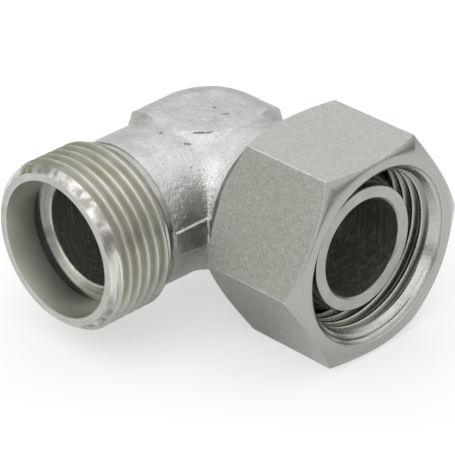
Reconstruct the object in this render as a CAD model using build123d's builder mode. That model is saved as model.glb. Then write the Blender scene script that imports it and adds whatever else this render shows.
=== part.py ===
"""Swivel nut elbow for a 22 mm hydraulic tube, 24 degree cone, light series.

A forged 90 degree steel elbow. One leg ends in a male tube end: a 24 degree cone,
a tube socket and an M30 x 2 outside thread. The other leg carries a swivel nut
that is free to turn round a spigot with the matching outside cone and a seal ring.

Frame: the legs' axes cross at the origin, the male end points along -Y, the nut
leg along +X, and +Z is the normal of the plane that both legs lie in.
All sizes are in millimetres. The outside thread is a row of grooves with the
thread's profile and pitch; the inside thread is left plain, as its minor cylinder.
"""

import os
from math import radians, tan

from build123d import *

# ---- Connection ------------------------------------------------------------
tube_d = 22.0  # outside diameter of the tube, also the small end of both cones
thread_d = 30.0  # nominal thread diameter of the male end and of the nut
thread_pitch = 2.0
cone_angle = 24.0  # included angle of the socket's cone and the spigot's cone

# ---- Male end (distances are from the crossing of the legs) -----------------
centre_to_face = 35.5
mouth_d = 24.3  # cone at the face
socket_depth = 7.5  # face to the stop that the tube bottoms on
male_bore_d = 19.0
male_bore_past_crossing = 4.0  # full diameter beyond the nut leg's axis
drill_angle = 118.0  # included angle of the drill's point, where each bore ends
thread_allowance = 0.14  # crest of the outside thread below nominal
thread_length = 12.0  # face to the run-out
thread_angle = 60.0  # included angle of the flanks
first_groove = 1.65  # run-out to the middle of the thread's first groove
relief_length = 2.8  # turned neck behind the thread
stop_edge_break = 0.3

# ---- Forging ----------------------------------------------------------------
neck_d = 26.8
inner_corner_r = 1.5  # radius in plan of the rounded web between the necks
web_inset = 0.3  # web's section inside the necks' surface, so that it dies away into them
block_proud = 0.1  # block's flats outside the necks
block_round = 9.0
block_reach_male = 10.4
block_reach_nut = 9.4
block_end_slope = 2.4  # length over which the block's end falls to the neck
crease_out = 9.5  # crossing to the gusset's edge on the block's top, along the diagonal
flash_band = 4.6  # height of the trimmed parting band
flash_proud = 0.35
forging_end = 14.2  # end of the forging on the nut leg

# ---- Nut leg ----------------------------------------------------------------
collar_gap = 0.4  # groove between forging and collar
collar_d = 28.0
collar_length = 3.3
shank_d = 26.0
tip_at = 36.0  # crossing to the flat tip of the spigot
spigot_cone_length = 7.3
nut_bore_d = 17.4
wire_d = 2.0  # thrust wire that holds the nut on
wire_from_nut_back = 4.2
wire_clearance = 0.06
seal_d = 2.0
seal_groove_floor_d = 21.2
seal_groove_width = 2.6
seal_from_tip = 4.7
edge_break = 0.3

# ---- Swivel nut -------------------------------------------------------------
across_flats = 35.6  # 36 mm spanner, bar size at the low end of its tolerance
nut_length = 21.3
nut_back_gap = 0.4  # collar to the nut's back face
nut_turn = 1.8  # how far the nut stands turned on its shank, in degrees
nut_running_clearance = 0.08  # radial, nut bore on shank
nut_chamfer = 30.0  # angle of the hexagon's chamfers from the end faces
front_rim = 1.63  # flat ring between countersink and front chamfer
back_rim = 3.92  # flat ring between throat and back chamfer
minor_d = thread_d - 1.0825 * thread_pitch  # of a metric inside thread
undercut_length = 2.6
undercut_depth = 0.2  # below the nut thread's root
nut_throat_length = 7.3  # plain bore that runs on the shank
lead_in_angle = 30.0  # from the axis, start of the nut's thread
countersink_d = 31.74
seam_d = 30.2  # where the lead-in meets the countersink
countersink_depth = 0.65

# ---- Worked out -------------------------------------------------------------
cone_slope = tan(radians(cone_angle / 2))
drill_slope = tan(radians(drill_angle / 2))
web_section_r = neck_d / 2 - web_inset
web_r = web_section_r + inner_corner_r
block_across = neck_d + 2 * block_proud
block_corner_r = (block_across / 2 - block_round) * 2**0.5 + block_round
crest_d = thread_d - thread_allowance
root_d = crest_d - 1.2269 * thread_pitch  # of a metric outside thread
relief_d = thread_d - 1.75 * thread_pitch  # clear of the root
face_d = crest_d - 1.5 * thread_pitch  # inside the root, so that the chamfer starts the thread
thread_end = centre_to_face - thread_length
relief_end = thread_end - relief_length
thread_start = thread_end - (crest_d - relief_d) / 2
chamfer_start = centre_to_face - (crest_d - face_d) / 2
flank_slope = tan(radians(thread_angle / 2))
groove_depth = (crest_d - root_d) / 2
groove_floor = thread_pitch * 7 / 8 - 2 * groove_depth * flank_slope  # crests are an eighth wide
groove_reach = groove_depth + thread_pitch / 16  # cut from outside the crests
first_groove_at = thread_end + first_groove
grooves = int((chamfer_start - first_groove_at) // thread_pitch) + 1
socket_floor = centre_to_face - socket_depth
cone_floor = centre_to_face - (mouth_d - tube_d) / 2 / cone_slope

collar_start = forging_end + collar_gap
collar_end = collar_start + collar_length
cone_start = tip_at - spigot_cone_length
cone_large_d = tube_d + 2 * spigot_cone_length * cone_slope
shank_step = (shank_d - cone_large_d) / 2
seal_at = tip_at - seal_from_tip

nut_back = collar_end + nut_back_gap
nut_front = nut_back + nut_length
throat_d = shank_d + 2 * nut_running_clearance
throat_end = nut_back + nut_throat_length
undercut_d = thread_d + 2 * undercut_depth
undercut_end = throat_end + undercut_length
undercut_wall = (undercut_d - throat_d) / 2
seam_at = nut_front - countersink_depth
lead_in_length = (seam_d - minor_d) / 2 / tan(radians(lead_in_angle))
chamfer_slope = tan(radians(nut_chamfer))
front_circle_d = countersink_d + 2 * front_rim
back_circle_d = throat_d + 2 * (edge_break + back_rim)
clear_of_hex = across_flats / 2**0.5
wire_at = nut_back + wire_from_nut_back
wire_ring_d = (shank_d + throat_d) / 2

male_leg = Plane.XZ  # its normal points along -Y, out of the male end
nut_leg = Plane.YZ  # its normal points along +X, out of the nut


def half_section(leg):
    """The plane of a leg's half section: local x is radius, local y runs out along the leg."""
    return Plane(leg.origin, x_dir=leg.x_dir, z_dir=-leg.y_dir)


def leg_axis(leg):
    """The axis that a leg's turned surfaces share."""
    return Axis(leg.origin, leg.z_dir)


def block_arm(leg, reach):
    """One arm of the forged block: a rounded square whose far end falls away to the neck."""
    slope_start = reach - block_end_slope
    with BuildPart() as arm:
        with BuildSketch(leg):
            RectangleRounded(block_across, block_across, block_round)
        extrude(amount=reach)
        with BuildSketch(half_section(leg)):
            with BuildLine():
                Polyline((web_section_r, reach), (0, reach), (0, 0), (block_across, 0))
                shoulder = Polyline(
                    (block_across, 0),
                    (block_across, slope_start),
                    (block_corner_r, slope_start),
                )
                Spline([shoulder @ 1, (web_section_r, reach)], tangents=[(-1, 0), (-1, 0.6)])
            make_face()
        revolve(axis=leg_axis(leg), mode=Mode.INTERSECT)
    return arm.part


def make_block():
    """The forged block: two arms, a round outer corner and a gusset across the inner corner."""
    with BuildPart() as block:
        add(block_arm(male_leg, block_reach_male))
        add(block_arm(nut_leg, block_reach_nut))
        with BuildSketch(Plane.XZ):
            RectangleRounded(block_across, block_across, block_round)
            Rectangle(block_across, block_across, align=(Align.MIN, Align.CENTER), mode=Mode.SUBTRACT)
        revolve(axis=Axis((0, 0, 0), (0, 0, -1)), revolution_arc=90)
        for side in (1, -1):
            crease = Vector(1, -1, 0).normalized() * crease_out + Vector(0, 0, side * block_across / 2)
            gusset = Plane(crease, z_dir=(1, -1, side * 2**0.5))
            split(bisect_by=gusset, keep=Keep.BOTTOM)
    return block.part


def make_flash_band():
    """The parting band that trimming leaves, in plan the forging's outline made a little larger."""
    with BuildPart() as band:
        half_width = neck_d / 2 + flash_proud
        with BuildSketch(Plane.XY.offset(-flash_band / 2)):
            Circle(half_width)
            Rectangle(2 * half_width, relief_end, align=(Align.CENTER, Align.MAX))
            Rectangle(forging_end, 2 * half_width, align=(Align.MIN, Align.CENTER))
        extrude(amount=flash_band)
    return band.part


def make_forging():
    """The forging before it is machined: two necks, the web between them, block and parting band."""
    with BuildPart() as forging:
        for leg, neck_end in ((male_leg, relief_end), (nut_leg, forging_end)):
            with BuildSketch(leg):
                Circle(neck_d / 2)
            extrude(amount=neck_end)
        with BuildSketch(male_leg.offset(web_r)):
            Circle(web_section_r)
        revolve(axis=Axis((web_r, -web_r, 0), (0, 0, -1)), revolution_arc=90)
        add(make_block())
        add(make_flash_band())
        split(bisect_by=nut_leg.offset(forging_end), keep=Keep.BOTTOM)
    return forging.part


# ---- Elbow body -------------------------------------------------------------
with BuildPart() as elbow_body:
    add(make_forging())

    # Male end: relief neck, run-out, thread and chamfered face.
    with BuildSketch(half_section(male_leg)):
        with BuildLine():
            Polyline(
                (0, relief_end - edge_break),
                (relief_d / 2, relief_end - edge_break),
                (relief_d / 2, thread_start),
                (crest_d / 2, thread_end),
                (crest_d / 2, chamfer_start),
                (face_d / 2, centre_to_face),
                (0, centre_to_face),
                close=True,
            )
        make_face()
    revolve(axis=leg_axis(male_leg))

    with BuildSketch(half_section(male_leg)):
        with Locations([(root_d / 2, first_groove_at + turn * thread_pitch) for turn in range(grooves)]):
            Polygon(
                (0, -groove_floor / 2),
                (0, groove_floor / 2),
                (groove_reach, groove_floor / 2 + groove_reach * flank_slope),
                (groove_reach, -groove_floor / 2 - groove_reach * flank_slope),
                align=None,
            )
    revolve(axis=leg_axis(male_leg), mode=Mode.SUBTRACT)

    # Turned outside of the nut leg: groove, collar, shank and cone.
    with BuildSketch(half_section(nut_leg)):
        with BuildLine():
            Polyline(
                (0, forging_end - edge_break),
                (shank_d / 2, forging_end - edge_break),
                (shank_d / 2, collar_start),
                (collar_d / 2 - edge_break, collar_start),
                (collar_d / 2, collar_start + edge_break),
                (collar_d / 2, collar_end - edge_break),
                (collar_d / 2 - edge_break, collar_end),
                (shank_d / 2, collar_end),
                (shank_d / 2, cone_start - shank_step),
                (cone_large_d / 2, cone_start),
                (tube_d / 2, tip_at),
                (0, tip_at),
                close=True,
            )
        make_face()
    revolve(axis=leg_axis(nut_leg))

    # Male bore, tube socket and 24 degree cone.
    with BuildSketch(half_section(male_leg)):
        with BuildLine():
            Polyline(
                (0, -male_bore_past_crossing - male_bore_d / 2 / drill_slope),
                (male_bore_d / 2, -male_bore_past_crossing),
                (male_bore_d / 2, socket_floor - stop_edge_break),
                (male_bore_d / 2 + stop_edge_break, socket_floor),
                (tube_d / 2, socket_floor),
                (tube_d / 2, cone_floor),
                (mouth_d / 2, centre_to_face),
                (0, centre_to_face),
                close=True,
            )
        make_face()
    revolve(axis=leg_axis(male_leg), mode=Mode.SUBTRACT)

    # Bore of the nut leg, drilled from the tip into the male bore.
    with BuildSketch(half_section(nut_leg)):
        with BuildLine():
            Polyline(
                (0, -nut_bore_d / 2 / drill_slope),
                (nut_bore_d / 2, 0),
                (nut_bore_d / 2, tip_at - edge_break),
                (nut_bore_d / 2 + edge_break, tip_at),
                (0, tip_at),
                close=True,
            )
        make_face()
    revolve(axis=leg_axis(nut_leg), mode=Mode.SUBTRACT)

    # Seal groove and the shank's half of the wire groove.
    with BuildSketch(half_section(nut_leg)):
        with Locations((seal_groove_floor_d / 2, seal_at)):
            Rectangle(2 * seal_d, seal_groove_width, align=(Align.MIN, Align.CENTER))
        with Locations((wire_ring_d / 2, wire_at)):
            Circle(wire_d / 2 + wire_clearance)
    revolve(axis=leg_axis(nut_leg), mode=Mode.SUBTRACT)
elbow_body.part.label = "elbow_body"

# ---- Swivel nut -------------------------------------------------------------
with BuildPart() as swivel_nut:
    with BuildSketch(nut_leg.offset(nut_back)):
        RegularPolygon(across_flats / 2, 6, major_radius=False, rotation=nut_turn)
    extrude(amount=nut_length)

    # The turned form: chamfered ends outside, throat, undercut and thread inside.
    with BuildSketch(half_section(nut_leg)):
        with BuildLine():
            Polyline(
                (throat_d / 2 + edge_break, nut_back),
                (throat_d / 2, nut_back + edge_break),
                (throat_d / 2, throat_end - undercut_wall),
                (undercut_d / 2, throat_end),
                (undercut_d / 2, undercut_end),
                (minor_d / 2, undercut_end + (undercut_d - minor_d) / 2),
                (minor_d / 2, seam_at - lead_in_length),
                (seam_d / 2, seam_at),
                (countersink_d / 2, nut_front),
                (front_circle_d / 2, nut_front),
                (clear_of_hex, nut_front - (clear_of_hex - front_circle_d / 2) * chamfer_slope),
                (clear_of_hex, nut_back + (clear_of_hex - back_circle_d / 2) * chamfer_slope),
                (back_circle_d / 2, nut_back),
                close=True,
            )
        make_face()
    revolve(axis=leg_axis(nut_leg), mode=Mode.INTERSECT)

    # The nut's half of the wire groove.
    with BuildSketch(half_section(nut_leg)):
        with Locations((wire_ring_d / 2, wire_at)):
            Circle(wire_d / 2 + wire_clearance)
    revolve(axis=leg_axis(nut_leg), mode=Mode.SUBTRACT)
swivel_nut.part.label = "swivel_nut"

# ---- Thrust wire, closed up in the two half grooves --------------------------
with BuildPart() as nut_retaining_wire:
    with BuildSketch(half_section(nut_leg)):
        with Locations((wire_ring_d / 2, wire_at)):
            Circle(wire_d / 2)
    revolve(axis=leg_axis(nut_leg))
nut_retaining_wire.part.label = "nut_retaining_wire"

# ---- Seal ring, stretched onto the floor of its groove -----------------------
with BuildPart() as cone_seal_ring:
    with BuildSketch(half_section(nut_leg)):
        with Locations((seal_groove_floor_d / 2 + seal_d / 2, seal_at)):
            Circle(seal_d / 2)
    revolve(axis=leg_axis(nut_leg))
cone_seal_ring.part.label = "cone_seal_ring"

os.makedirs("parts", exist_ok=True)
for piece in (elbow_body, swivel_nut, nut_retaining_wire, cone_seal_ring):
    export_step(piece.part, f"parts/{piece.part.label}.step")
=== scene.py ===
"""The looks of a swivel nut tube elbow in zinc plated steel.

A forged body carries a turned and threaded male end on one leg and a turned spigot on the
other, and a hexagon nut turns round the spigot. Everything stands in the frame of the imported
model, in metres: the male end points along -Y, the nut along +X, and +Z is up. Sizes are
written in millimetres and multiplied by MM.
"""

from __future__ import annotations

import logging
import math
from collections.abc import Callable
from dataclasses import dataclass, field
from enum import Enum
from functools import reduce

import bpy
from bpy.types import ID, Material, Mesh, Node, NodeSocket, NodeTree, Object
from mathutils import Matrix, Vector

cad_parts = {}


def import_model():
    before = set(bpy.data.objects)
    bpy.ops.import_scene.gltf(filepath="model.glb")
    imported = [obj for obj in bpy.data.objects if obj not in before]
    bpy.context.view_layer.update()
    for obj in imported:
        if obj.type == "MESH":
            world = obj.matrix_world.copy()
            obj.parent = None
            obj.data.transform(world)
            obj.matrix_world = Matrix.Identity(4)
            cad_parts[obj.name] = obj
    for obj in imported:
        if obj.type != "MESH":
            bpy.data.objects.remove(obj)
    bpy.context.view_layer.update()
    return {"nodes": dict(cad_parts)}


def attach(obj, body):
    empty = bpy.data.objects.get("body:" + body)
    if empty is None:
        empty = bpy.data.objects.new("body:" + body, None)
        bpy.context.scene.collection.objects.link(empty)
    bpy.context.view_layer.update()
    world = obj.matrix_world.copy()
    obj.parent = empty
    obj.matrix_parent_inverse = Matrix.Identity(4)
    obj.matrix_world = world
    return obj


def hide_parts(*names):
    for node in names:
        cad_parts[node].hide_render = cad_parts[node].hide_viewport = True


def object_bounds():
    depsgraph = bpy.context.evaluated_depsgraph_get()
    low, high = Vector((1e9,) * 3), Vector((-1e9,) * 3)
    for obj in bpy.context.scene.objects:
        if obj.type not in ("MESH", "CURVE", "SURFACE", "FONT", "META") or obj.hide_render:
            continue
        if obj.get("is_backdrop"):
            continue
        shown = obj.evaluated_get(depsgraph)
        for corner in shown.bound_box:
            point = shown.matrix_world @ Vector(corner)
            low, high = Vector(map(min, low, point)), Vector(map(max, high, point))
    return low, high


MM = 0.001
WELD = 0.004 * MM
SMOOTH_BELOW = math.radians(32)

log = logging.getLogger("elbow")


# ---- Node trees ----


def operator(operation: str) -> Callable[..., Num]:
    """Makes a method that adds one Math node.

    Args:
        operation: the node's operation, such as "ADD".

    Returns:
        The method.
    """

    def method(self: Num, *others: Num | float) -> Num:
        """Adds the Math node.

        Args:
            others: the node's second and third operands.

        Returns:
            The node's result.
        """
        sockets = dict(enumerate((self, *others)))
        node = self.tree.node("ShaderNodeMath", {"operation": operation}, sockets)
        return Num(self.tree, node.outputs[0])

    return method


class Num:
    """A number in a node tree: a socket that Python arithmetic adds Math nodes to.

    at_least and at_most are the larger and the smaller of two numbers, and below is 1 where the
    number is under the other. joined and shared are the union and the intersection of two
    distances, rounded off within a reach.
    """

    __add__ = __radd__ = operator("ADD")
    __sub__ = operator("SUBTRACT")
    __mul__ = __rmul__ = operator("MULTIPLY")
    __truediv__ = operator("DIVIDE")
    __pow__ = operator("POWER")
    __abs__ = operator("ABSOLUTE")
    at_least = operator("MAXIMUM")
    at_most = operator("MINIMUM")
    below = operator("LESS_THAN")
    joined = operator("SMOOTH_MIN")
    shared = operator("SMOOTH_MAX")
    floor = operator("FLOOR")
    root = operator("SQRT")
    sine = operator("SINE")
    cosine = operator("COSINE")
    arctan2 = operator("ARCTAN2")

    def __init__(self, tree: Tree, socket: NodeSocket) -> None:
        """Wraps an output socket of a tree."""
        self.tree = tree
        self.socket = socket

    def __rsub__(self, other: float) -> Num:
        """A plain number less this one."""
        return (self * -1.0) + other

    def __rtruediv__(self, other: float) -> Num:
        """A plain number divided by this one."""
        return self**-1.0 * other

    def __neg__(self) -> Num:
        """The number with its sign changed."""
        return self * -1.0

    def ramp(self, low: float, high: float) -> Num:
        """0 below low, 1 above high, straight between.

        Args:
            low: where it leaves 0.
            high: where it reaches 1.

        Returns:
            The share between the two.
        """
        sockets = {0: self, 1: low, 2: high, 3: 0.0, 4: 1.0}
        node = self.tree.node("ShaderNodeMapRange", {"clamp": True}, sockets)
        return Num(self.tree, node.outputs[0])


Link = Num | NodeSocket | float | int | str | tuple | ID


class Tree:
    """Adds nodes to a shader or geometry node tree."""

    def __init__(self, nodes: NodeTree) -> None:
        """Takes the tree that nodes are added to."""
        self.nodes = nodes

    def node(
        self, kind: str, settings: dict | None = None, sockets: dict | None = None
    ) -> Node:
        """Adds a node.

        Args:
            kind: the node's type.
            settings: its properties, which are set first.
            sockets: values or links of its inputs, by name or index.

        Returns:
            The new node.
        """
        node = self.nodes.nodes.new(kind)
        for name, value in (settings or {}).items():
            setattr(node, name, value)
        self.feed(node, sockets or {})
        return node

    def feed(self, node: Node, sockets: dict[str | int, Link]) -> None:
        """Sets inputs of a node, or links them.

        Args:
            node: the node.
            sockets: values or links of its inputs, by name or index.
        """
        for key, value in sockets.items():
            if isinstance(value, Num):
                value = value.socket
            if isinstance(value, NodeSocket):
                self.nodes.links.new(value, node.inputs[key])
            else:
                node.inputs[key].default_value = value

    def num(self, socket: NodeSocket) -> Num:
        """Wraps a socket for arithmetic."""
        return Num(self, socket)

    def parts(self, vector: NodeSocket) -> tuple[Num, Num, Num]:
        """The three numbers of a vector."""
        node = self.node("ShaderNodeSeparateXYZ", sockets={0: vector})
        return tuple(self.num(out) for out in node.outputs[:3])

    def vector(self, x: Link, y: Link, z: Link) -> NodeSocket:
        """A vector made of three numbers."""
        return self.node("ShaderNodeCombineXYZ", sockets={0: x, 1: y, 2: z}).outputs[0]

    def noise(self, vector: Link, scale: float, detail: float = 2.0, rough: float = 0.5) -> Num:
        """Cloudy noise from about 0.25 to 0.75, at a number of waves per unit."""
        sockets = {"Vector": vector, "Scale": scale, "Detail": detail, "Roughness": rough}
        return self.num(self.node("ShaderNodeTexNoise", sockets=sockets).outputs["Fac"])


class GeometryTree(Tree):
    """A Geometry Nodes tree with named inputs, which is run on a mesh and taken off again."""

    def __init__(self, name: str, inputs: dict[str, tuple[str, ...]]) -> None:
        """Makes the tree and its inputs.

        Args:
            name: the tree's name.
            inputs: the names of the input sockets, by their type.
        """
        super().__init__(bpy.data.node_groups.new(name, "GeometryNodeTree"))
        face = self.nodes.interface
        for way in ("INPUT", "OUTPUT"):
            face.new_socket("Geometry", in_out=way, socket_type="NodeSocketGeometry")
        for kind, names in inputs.items():
            for socket_name in names:
                face.new_socket(socket_name, in_out="INPUT", socket_type=f"NodeSocket{kind}")
        self.group_in = self.nodes.nodes.new("NodeGroupInput")

    def given(self, name: str) -> Num:
        """A named input, as a number."""
        return self.num(self.group_in.outputs[name])

    def end(self, geometry: NodeSocket) -> None:
        """Ends the tree in Realize Instances and Set Material.

        Args:
            geometry: what the tree has made.
        """
        real = self.node("GeometryNodeRealizeInstances", sockets={0: geometry})
        dress = {"Geometry": real.outputs[0], "Material": self.group_in.outputs["Material"]}
        dressed = self.node("GeometryNodeSetMaterial", sockets=dress)
        self.node("NodeGroupOutput", sockets={0: dressed.outputs[0]})

    def run(self, obj: Object, values: dict[str, object]) -> None:
        """Runs the tree on an object's mesh and keeps the result as a plain mesh.

        Args:
            obj: the object, whose mesh is the tree's input.
            values: the inputs' values, by name.
        """
        modifier = obj.modifiers.new(self.nodes.name, "NODES")
        modifier.node_group = self.nodes
        for item in self.nodes.interface.items_tree:
            if item.in_out == "INPUT" and item.name in values:
                modifier[item.identifier] = values[item.name]
        bake_modifiers(obj)


def bake_modifiers(obj: Object) -> None:
    """Turns an object's mesh and modifiers into a plain mesh.

    Args:
        obj: the object, which keeps the result.
    """
    bpy.context.view_layer.update()
    graph = bpy.context.evaluated_depsgraph_get()
    result = bpy.data.meshes.new_from_object(obj.evaluated_get(graph))
    obj.modifiers.clear()
    obj.data = result
    result.name = obj.name


def new_object(name: str, mesh: Mesh) -> Object:
    """An object at the origin that shows a mesh.

    Args:
        name: the object's name.
        mesh: its mesh.

    Returns:
        The object.
    """
    obj = bpy.data.objects.new(name, mesh)
    bpy.context.scene.collection.objects.link(obj)
    return obj


# ---- Turned forms ----


class Leg(Enum):
    """The two legs, each with the columns of the turn that takes a form from +Z onto its axis."""

    MALE = ((1, 0, 0), (0, 0, 1), (0, -1, 0))
    NUT = ((0, 1, 0), (0, 0, 1), (1, 0, 0))

    def turn(self) -> tuple[float, float, float]:
        """The leg's turn as Euler angles."""
        return tuple(Matrix(self.value).transposed().to_euler())


class Role(Enum):
    """What moves a point of a half section as it goes round: nothing, the thread or the hexagon."""

    ROUND = (0.0, 0.0, 0.0)
    THREAD = (1.0, 0.0, 0.0)
    HEX_FRONT = (0.0, 1.0, 0.0)
    HEX_BACK = (0.0, 0.0, 1.0)


@dataclass(frozen=True)
class Point:
    """A point of a half section, in millimetres.

    For the hexagon's roles, radius and along are how far the point lies inside the hexagon's
    outline and inside its chamfer's edge.
    """

    radius: float
    along: float
    role: Role = Role.ROUND


def path(*places: tuple[float, float]) -> list[Point]:
    """Plain points of a half section, from pairs of radius and place along the leg."""
    return [Point(*place) for place in places]


@dataclass(frozen=True)
class Slope:
    """A cone that trims a thread, in millimetres: radius grows by slope for each step inwards."""

    radius: float
    along: float
    slope: float


@dataclass(frozen=True)
class Thread:
    """A metric thread between two places on a leg, trimmed by a cone at each end.

    The flats and the edge are parts of the pitch. From filled_from outwards the groove fills up.
    """

    crest: float
    depth: float
    pitch: float
    low: float
    high: float
    crest_at: float
    front: Slope
    back: Slope
    outside: bool = True
    filled_from: float = 999.0
    crest_flat: float = 0.125
    root_flat: float = 0.17
    edge: float = 0.02

    def outline(self) -> list[tuple[float, float]]:
        """One turn's outline from a crest's middle, as pairs of place and depth in millimetres.

        Returns:
            Pairs of place and depth, in millimetres.
        """
        crest, root = self.crest_flat / 2, 0.5 - self.root_flat / 2
        flank = [(crest + t * (root - crest), t) for t in (0.03, 0.3, 0.6, 0.94)]
        down = [(crest - self.edge, 0.0), *flank, (root + self.edge, 0.99)]
        up = [(1 - place, drop) for place, drop in reversed(down)]
        return [(place * self.pitch, drop * self.depth) for place, drop in down + up]

    def points(self) -> list[Point]:
        """The thread's half section, with the metal on its right.

        Returns:
            The points of all its turns, in order.
        """
        sign = -1.0 if self.outside else 1.0
        before = math.ceil((self.crest_at - self.low) / self.pitch) + 1
        first = self.crest_at - before * self.pitch
        turns = math.ceil((self.high - first) / self.pitch) + 1
        found = [
            Point(self.crest + sign * drop, first + turn * self.pitch + place, Role.THREAD)
            for turn in range(turns)
            for place, drop in self.outline()
        ]
        return found[::-1] if self.outside else found

    def inputs(self) -> dict[str, float]:
        """The turning tree's inputs for the thread.

        Returns:
            Their values, by name.
        """
        lengths = {"Pitch": self.pitch, "Thread low": self.low, "Thread high": self.high}
        lengths["Filled from"] = self.filled_from
        shares = {"Thread side": 1.0 if self.outside else -1.0}
        for end, cone in (("Front", self.front), ("Back", self.back)):
            lengths |= {f"{end} radius": cone.radius, f"{end} at": cone.along}
            shares[f"{end} slope"] = cone.slope
        return shares | {name: length * MM for name, length in lengths.items()}


@dataclass(frozen=True)
class Hexagon:
    """A chamfered hexagon, in millimetres and degrees."""

    across: float
    turn: float
    corner: float
    front: float
    front_circle: float
    back: float
    back_circle: float
    chamfer: float = 30.0
    edge: float = 0.16
    crowding: float = 0.86

    @property
    def corner_radius(self) -> float:
        """How far the rounded corners stand from the axis."""
        return (self.across / 2 - self.corner) / math.cos(math.radians(30)) + self.corner

    def points(self) -> list[Point]:
        """The hexagon's half section from its front chamfer to its back chamfer.

        Returns:
            The points.
        """
        steps = [(self.edge, 0), (0, self.edge * 0.8), (0, self.edge * 6)]
        front = [Point(inside, along, Role.HEX_FRONT) for inside, along in steps]
        back = [Point(inside, along, Role.HEX_BACK) for inside, along in reversed(steps)]
        return front + back

    def inputs(self) -> dict[str, float]:
        """The turning tree's inputs for the hexagon.

        Returns:
            Their values, by name.
        """
        return {
            "First corner": math.radians(self.turn),
            "Crowding": self.crowding,
            "Chamfer slope": math.tan(math.radians(self.chamfer)),
            "Flat distance": self.across / 2 * MM,
            "Corner radius": self.corner * MM,
            "Hex front": self.front * MM,
            "Hex front circle": self.front_circle * MM,
            "Hex back": self.back * MM,
            "Hex back circle": self.back_circle * MM,
        }


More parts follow.
